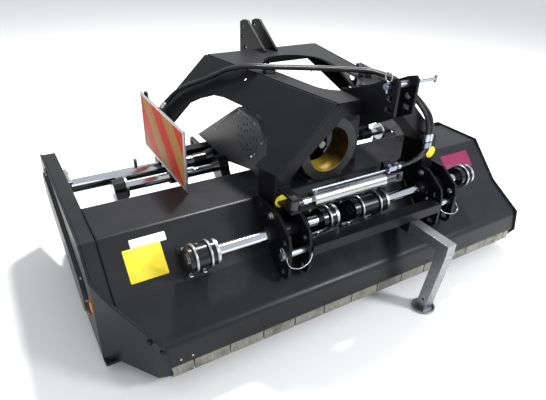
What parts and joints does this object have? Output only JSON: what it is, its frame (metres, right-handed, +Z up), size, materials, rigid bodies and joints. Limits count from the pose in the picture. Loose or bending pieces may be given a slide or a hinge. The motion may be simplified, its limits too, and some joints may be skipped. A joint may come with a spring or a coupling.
{
  "type": "flail mower",
  "caption": "Tractor flail mower with a bent steel hood, a side-shift headstock on guide bars, a hammer rotor, front flaps, a rear roller, warning boards and a parking stand.",
  "frame": {"origin": "under the middle of the overall box, on the ground", "axes": "X along the rotor to the right side, Y from the front hitch to the rear roller, Z up"},
  "size_m": [2.153, 1.463, 1.0887],
  "materials": {
    "black_coat": "satin powder coat",
    "black_casting": "painted casting",
    "chrome": "polished",
    "zinc": "zinc plated",
    "galvanised": "hot dip galvanised",
    "bare_steel": "machined",
    "dark_steel": "painted",
    "forged_steel": "forged",
    "flap_steel": "dull olive grey paint",
    "black_rubber": "matte",
    "black_plastic": "matte",
    "grey_plastic": "moulded",
    "ochre_plastic": "moulded",
    "amber_plastic": "moulded",
    "red_white_sheet": "red and white reflective sheet"
  },
  "bodies": {
    "mower_body": {"hood_shell": "black_coat", "left_end_plate": "black_coat", "right_end_plate": "black_coat", "belt_case": "black_coat", "belt_cover": "black_coat", "drive_belts": "black_rubber", "skids": "black_coat", "counter_blade": "bare_steel", "flap_hinge_rod": "bare_steel", "rear_rubber_flap": "black_rubber", "roller_brackets": "black_coat", "guide_bars": "chrome", "bar_brackets": "black_casting", "bar_clamps": "zinc", "deck_screws": "zinc", "cylinder_barrel": "zinc", "cylinder_bracket": "black_coat", "cylinder_lines": "zinc", "drive_tube": "chrome", "gearbox_housing": "black_casting", "gearbox_guard": "grey_plastic", "driveline_guard": "ochre_plastic", "rotor_bearings": "black_casting", "side_reflector": "amber_plastic"},
    "rotor": {"rotor_tube": "dark_steel", "hammers": "forged_steel", "hammer_bolts": "zinc", "rotor_pulley": "black_casting"},
    "roller": {"rear_roller": "dark_steel"},
    "drive_line": {"drive_shaft": "bare_steel", "drive_pulley": "black_casting"},
    "input": {"input_shaft": "bare_steel"},
    "headstock": {"front_frame": "black_coat", "rear_frame": "black_coat", "side_panels": "black_coat", "top_plate": "black_coat", "front_mast": "black_coat", "rear_mast": "black_coat", "front_hitch_brackets": "black_coat", "rear_hitch_brackets": "black_coat", "guide_sleeves": "black_coat", "cross_beam": "black_coat", "cylinder_rod": "chrome", "hydraulic_hoses": "black_rubber", "hose_clamps": "black_plastic", "board_posts": "black_coat"},
    "left_board_body": {"left_board": "red_white_sheet"},
    "right_board_body": {"right_board": "red_white_sheet"},
    "stand": {"support_stand": "galvanised"},
    "top_pin": {"top_link_pin": "zinc"},
    "top_clip": {"top_link_clip": "zinc"},
    "left_pin": {"left_hitch_pin": "zinc"},
    "right_pin": {"right_hitch_pin": "zinc"},
    "flaps_1": {"front_flaps_1": "flap_steel"},
    "flaps_2": {"front_flaps_2": "flap_steel"},
    "flaps_3": {"front_flaps_3": "flap_steel"},
    "flaps_4": {"front_flaps_4": "flap_steel"},
    "flaps_5": {"front_flaps_5": "flap_steel"},
    "flaps_6": {"front_flaps_6": "flap_steel"},
    "flaps_7": {"front_flaps_7": "flap_steel"}
  },
  "joints": [
    {"name": "rotor_spin", "type": "hinge", "parent": "mower_body", "child": "rotor", "pos_m": [0.1115, -0.0895, 0.24], "axis": [1, 0, 0], "continuous": true},
    {"name": "roller_spin", "type": "hinge", "parent": "mower_body", "child": "roller", "pos_m": [0.1115, 0.5105, 0.1], "axis": [1, 0, 0], "continuous": true},
    {"name": "drive_shaft_spin", "type": "hinge", "parent": "mower_body", "child": "drive_line", "pos_m": [0.1115, 0.4805, 0.403], "axis": [1, 0, 0], "continuous": true},
    {"name": "input_spin", "type": "hinge", "parent": "mower_body", "child": "input", "pos_m": [0.0415, 0.0805, 0.668], "axis": [0, 1, 0], "continuous": true},
    {"name": "head_shift", "type": "slide", "parent": "mower_body", "child": "headstock", "axis": [1, 0, 0], "range_m": [-0.2, 0.06]},
    {"name": "left_board_swing", "type": "hinge", "parent": "headstock", "child": "left_board_body", "pos_m": [-0.5485, 0.5305, 0.66], "axis": [0, 0, 1], "range_deg": [-90, 0]},
    {"name": "right_board_swing", "type": "hinge", "parent": "headstock", "child": "right_board_body", "pos_m": [0.7715, 0.5305, 0.66], "axis": [0, 0, 1], "range_deg": [0, 99]},
    {"name": "stand_pull", "type": "slide", "parent": "headstock", "child": "stand", "axis": [0, -1, 0], "range_m": [0, 0.11]},
    {"name": "top_pin_play", "type": "slide", "parent": "headstock", "child": "top_pin", "axis": [1, 0, 0], "range_m": [0, 0.006]},
    {"name": "top_clip_pull", "type": "slide", "parent": "top_pin", "child": "top_clip", "axis": [0, 0, 1], "range_m": [0, 0.05]},
    {"name": "left_pin_pull", "type": "slide", "parent": "headstock", "child": "left_pin", "axis": [-1, 0, 0], "range_m": [0, 0.11]},
    {"name": "right_pin_pull", "type": "slide", "parent": "headstock", "child": "right_pin", "axis": [1, 0, 0], "range_m": [0, 0.11]},
    {"name": "front_flaps_1_swing", "type": "hinge", "parent": "mower_body", "child": "flaps_1", "pos_m": [0.1115, -0.5315, 0.158], "axis": [1, 0, 0], "range_deg": [0, 70]},
    {"name": "front_flaps_2_swing", "type": "hinge", "parent": "mower_body", "child": "flaps_2", "pos_m": [0.1115, -0.5315, 0.158], "axis": [1, 0, 0], "range_deg": [0, 70]},
    {"name": "front_flaps_3_swing", "type": "hinge", "parent": "mower_body", "child": "flaps_3", "pos_m": [0.1115, -0.5315, 0.158], "axis": [1, 0, 0], "range_deg": [0, 70]},
    {"name": "front_flaps_4_swing", "type": "hinge", "parent": "mower_body", "child": "flaps_4", "pos_m": [0.1115, -0.5315, 0.158], "axis": [1, 0, 0], "range_deg": [0, 70]},
    {"name": "front_flaps_5_swing", "type": "hinge", "parent": "mower_body", "child": "flaps_5", "pos_m": [0.1115, -0.5315, 0.158], "axis": [1, 0, 0], "range_deg": [0, 70]},
    {"name": "front_flaps_6_swing", "type": "hinge", "parent": "mower_body", "child": "flaps_6", "pos_m": [0.1115, -0.5315, 0.158], "axis": [1, 0, 0], "range_deg": [0, 70]},
    {"name": "front_flaps_7_swing", "type": "hinge", "parent": "mower_body", "child": "flaps_7", "pos_m": [0.1115, -0.5315, 0.158], "axis": [1, 0, 0], "range_deg": [0, 70]}
  ],
  "couplings": [
    {"joint": "drive_shaft_spin", "follows": "rotor_spin", "ratio": 0.8007},
    {"joint": "input_spin", "follows": "rotor_spin", "ratio": 0.2669}
  ]
}
